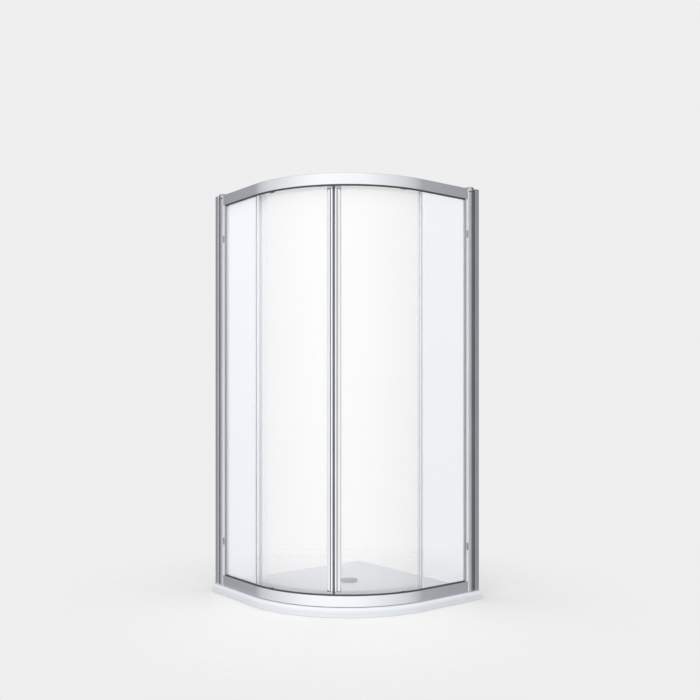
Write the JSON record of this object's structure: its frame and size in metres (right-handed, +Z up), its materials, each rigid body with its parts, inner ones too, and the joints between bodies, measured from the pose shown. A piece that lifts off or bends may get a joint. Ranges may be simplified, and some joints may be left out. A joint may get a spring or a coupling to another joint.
{
  "type": "quadrant shower enclosure",
  "caption": "Quadrant shower enclosure: low white corner tray, bent bright rails, fixed side glass and curved glass doors that slide apart from the middle.",
  "frame": {"origin": "centre of the tray's outline on the tray's underside, where it stands on the floor", "axes": "+Z up, one room wall at -X and the other at +Y, the curved front with the doors faces +X and -Y"},
  "size_m": [0.9, 0.9, 1.89],
  "materials": {
    "acrylic_white": "gloss",
    "waste_plastic": "satin",
    "plated_cover": "polished",
    "polished_rail": "polished",
    "polished_post": "polished",
    "polished_stile": "polished",
    "plated_cap": "plated gloss",
    "clear_glass": "clear toughened",
    "clear_seal": "clear soft",
    "grey_seal": "satin",
    "grey_rubber": "matt",
    "grey_plastic": "satin",
    "white_nylon": "satin",
    "plated_bracket": "plated",
    "steel_fixings": "bright"
  },
  "bodies": {
    "frame": {"bottom_rail": "polished_rail", "bottom_wiper": "grey_seal", "channel_caps": "plated_cap", "door_stops": "grey_rubber", "glazing_clips": "grey_plastic", "inner_glass_seals": "clear_seal", "left_bottom_connector": "grey_plastic", "left_fixed_edge_seal": "clear_seal", "left_fixed_glass": "clear_glass", "left_glazing_bead": "polished_post", "left_glazing_gasket": "grey_seal", "left_post": "polished_post", "left_post_cap": "plated_cap", "left_top_connector": "grey_plastic", "left_wall_channel": "polished_post", "post_screws": "steel_fixings", "rail_screws": "steel_fixings", "right_bottom_connector": "grey_plastic", "right_fixed_edge_seal": "clear_seal", "right_fixed_glass": "clear_glass", "right_glazing_bead": "polished_post", "right_glazing_gasket": "grey_seal", "right_post": "polished_post", "right_post_cap": "plated_cap", "right_top_connector": "grey_plastic", "right_wall_channel": "polished_post", "shower_tray": "acrylic_white", "top_rail": "polished_rail", "top_wiper": "grey_seal", "waste_body": "waste_plastic", "waste_clamp_nut": "waste_plastic", "waste_cover": "plated_cover", "waste_gasket": "grey_rubber"},
    "left_door": {"left_door_glass": "clear_glass", "left_door_stile": "polished_stile", "left_stile_caps": "grey_plastic", "left_magnetic_seal": "grey_seal", "left_trailing_seal": "clear_seal", "left_bottom_roller_plates": "plated_bracket", "left_top_roller_plates": "plated_bracket", "left_roller_axles": "steel_fixings", "left_glass_clamps": "steel_fixings"},
    "left_bottom_lead_wheel": {"left_bottom_lead_wheel": "white_nylon"},
    "left_bottom_trail_wheel": {"left_bottom_trail_wheel": "white_nylon"},
    "left_top_lead_wheel": {"left_top_lead_wheel": "white_nylon"},
    "left_top_trail_wheel": {"left_top_trail_wheel": "white_nylon"},
    "right_door": {"right_door_glass": "clear_glass", "right_door_stile": "polished_stile", "right_stile_caps": "grey_plastic", "right_magnetic_seal": "grey_seal", "right_trailing_seal": "clear_seal", "right_bottom_roller_plates": "plated_bracket", "right_top_roller_plates": "plated_bracket", "right_roller_axles": "steel_fixings", "right_glass_clamps": "steel_fixings"},
    "right_bottom_lead_wheel": {"right_bottom_lead_wheel": "white_nylon"},
    "right_bottom_trail_wheel": {"right_bottom_trail_wheel": "white_nylon"},
    "right_top_lead_wheel": {"right_top_lead_wheel": "white_nylon"},
    "right_top_trail_wheel": {"right_top_trail_wheel": "white_nylon"}
  },
  "joints": [
    {"name": "left_door_travel", "type": "hinge", "parent": "frame", "child": "left_door", "pos_m": [-0.13445, 0.19626, 0.961], "axis": [0, 0, 1], "range_deg": [-19.98, 0]},
    {"name": "right_door_travel", "type": "hinge", "parent": "frame", "child": "right_door", "pos_m": [-0.19626, 0.13445, 0.961], "axis": [0, 0, 1], "range_deg": [0, 19.98]},
    {"name": "left_bottom_lead_wheel_spin", "type": "hinge", "parent": "left_door", "child": "left_bottom_lead_wheel", "pos_m": [0.21081, -0.29764, 0.0567], "axis": [0.6158, -0.7879, 0], "continuous": true},
    {"name": "left_bottom_trail_wheel_spin", "type": "hinge", "parent": "left_door", "child": "left_bottom_trail_wheel", "pos_m": [-0.02641, -0.39931, 0.0567], "axis": [0.1458, -0.9893, 0], "continuous": true},
    {"name": "left_top_lead_wheel_spin", "type": "hinge", "parent": "left_door", "child": "left_top_lead_wheel", "pos_m": [0.21081, -0.29764, 1.8653], "axis": [0.6158, -0.7879, 0], "continuous": true},
    {"name": "left_top_trail_wheel_spin", "type": "hinge", "parent": "left_door", "child": "left_top_trail_wheel", "pos_m": [-0.02641, -0.39931, 1.8653], "axis": [0.1458, -0.9893, 0], "continuous": true},
    {"name": "right_bottom_lead_wheel_spin", "type": "hinge", "parent": "right_door", "child": "right_bottom_lead_wheel", "pos_m": [0.29764, -0.21081, 0.0567], "axis": [0.7879, -0.6158, 0], "continuous": true},
    {"name": "right_bottom_trail_wheel_spin", "type": "hinge", "parent": "right_door", "child": "right_bottom_trail_wheel", "pos_m": [0.39931, 0.02641, 0.0567], "axis": [0.9893, -0.1458, 0], "continuous": true},
    {"name": "right_top_lead_wheel_spin", "type": "hinge", "parent": "right_door", "child": "right_top_lead_wheel", "pos_m": [0.29764, -0.21081, 1.8653], "axis": [0.7879, -0.6158, 0], "continuous": true},
    {"name": "right_top_trail_wheel_spin", "type": "hinge", "parent": "right_door", "child": "right_top_trail_wheel", "pos_m": [0.39931, 0.02641, 1.8653], "axis": [0.9893, -0.1458, 0], "continuous": true}
  ],
  "couplings": [
    {"joint": "left_bottom_lead_wheel_spin", "follows": "left_door_travel", "ratio": 75.22},
    {"joint": "left_bottom_trail_wheel_spin", "follows": "left_door_travel", "ratio": 75.619},
    {"joint": "left_top_lead_wheel_spin", "follows": "left_door_travel", "ratio": -75.22},
    {"joint": "left_top_trail_wheel_spin", "follows": "left_door_travel", "ratio": -75.619},
    {"joint": "right_bottom_lead_wheel_spin", "follows": "right_door_travel", "ratio": 75.22},
    {"joint": "right_bottom_trail_wheel_spin", "follows": "right_door_travel", "ratio": 75.619},
    {"joint": "right_top_lead_wheel_spin", "follows": "right_door_travel", "ratio": -75.22},
    {"joint": "right_top_trail_wheel_spin", "follows": "right_door_travel", "ratio": -75.619}
  ]
}
